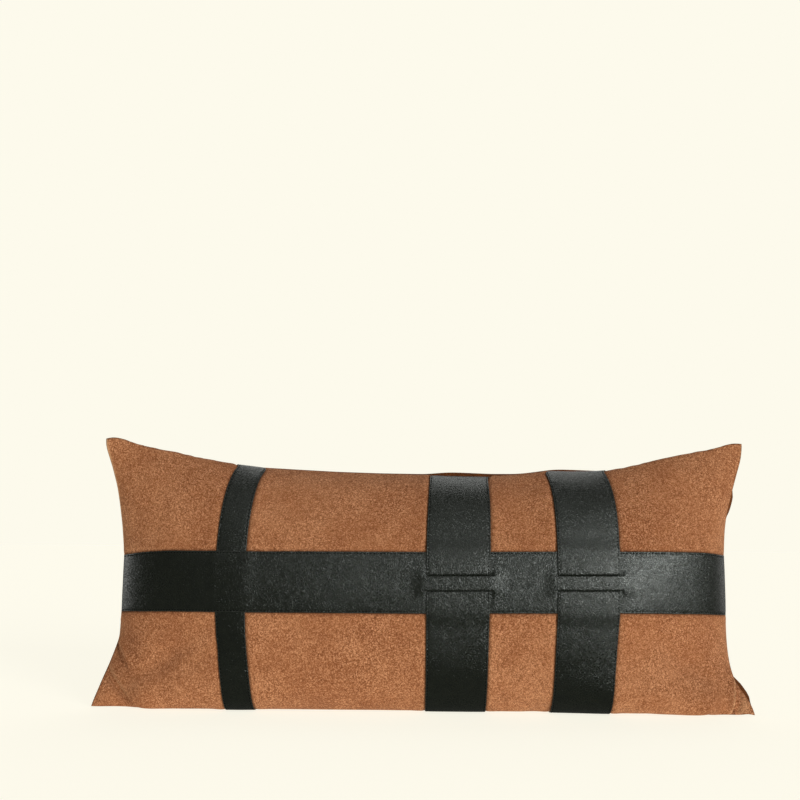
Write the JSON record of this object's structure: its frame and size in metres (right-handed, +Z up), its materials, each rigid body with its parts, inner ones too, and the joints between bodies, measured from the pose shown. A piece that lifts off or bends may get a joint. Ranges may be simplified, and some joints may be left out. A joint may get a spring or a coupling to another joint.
{
  "type": "lumbar throw pillow",
  "caption": "Long stuffed throw pillow with a suede face, stitched leather straps woven through slits, and a zipped cover over a removable insert.",
  "frame": {"origin": "middle of the pillow's footprint, on the surface it stands on", "axes": "+X along the pillow's length, to the right as seen from its strapped face; -Y out of the strapped face; +Z up"},
  "size_m": [0.6902, 0.1366, 0.2805],
  "materials": {
    "suede": "tan brushed faux suede",
    "backing": "dark brown brushed cloth",
    "strap": "black pebbled faux leather, semi-gloss",
    "thread": "dark topstitching thread",
    "insert_casing": "white non-woven casing",
    "fill": "white fibre filling",
    "zip_tape": "woven dark brown tape",
    "zip_coil": "dark brown nylon coil",
    "zip_metal": "antique brass",
    "label": "blank satin label"
  },
  "bodies": {
    "cover": {"front_panel": "suede", "back_panel": "backing", "horizontal_strap": "strap", "centre_wide_strap": "strap", "right_wide_strap": "strap", "left_narrow_strap": "strap", "stitch_horizontal_top": "thread", "stitch_horizontal_bottom": "thread", "stitch_narrow_left": "thread", "stitch_narrow_right": "thread", "stitch_centre_left": "thread", "stitch_centre_right": "thread", "stitch_right_left": "thread", "stitch_right_right": "thread", "insert_casing_front": "insert_casing", "insert_casing_back": "insert_casing", "insert_fill": "fill", "zip_tape_front": "zip_tape", "zip_tape_back": "zip_tape", "zip_coil_front": "zip_coil", "zip_coil_back": "zip_coil", "zip_top_stop": "zip_metal", "zip_bottom_stop": "zip_metal", "care_label": "label"},
    "slider": {"zip_slider": "zip_metal"},
    "pull_tab": {"zip_pull_tab": "zip_metal"}
  },
  "joints": [
    {"name": "zip_slide", "type": "slide", "parent": "cover", "child": "slider", "axis": [1, 0, 0], "range_m": [0, 0.492]},
    {"name": "pull_hinge", "type": "hinge", "parent": "slider", "child": "pull_tab", "pos_m": [-0.246, 0, 0.00432], "axis": [0, -1, 0], "range_deg": [0, 170]}
  ]
}
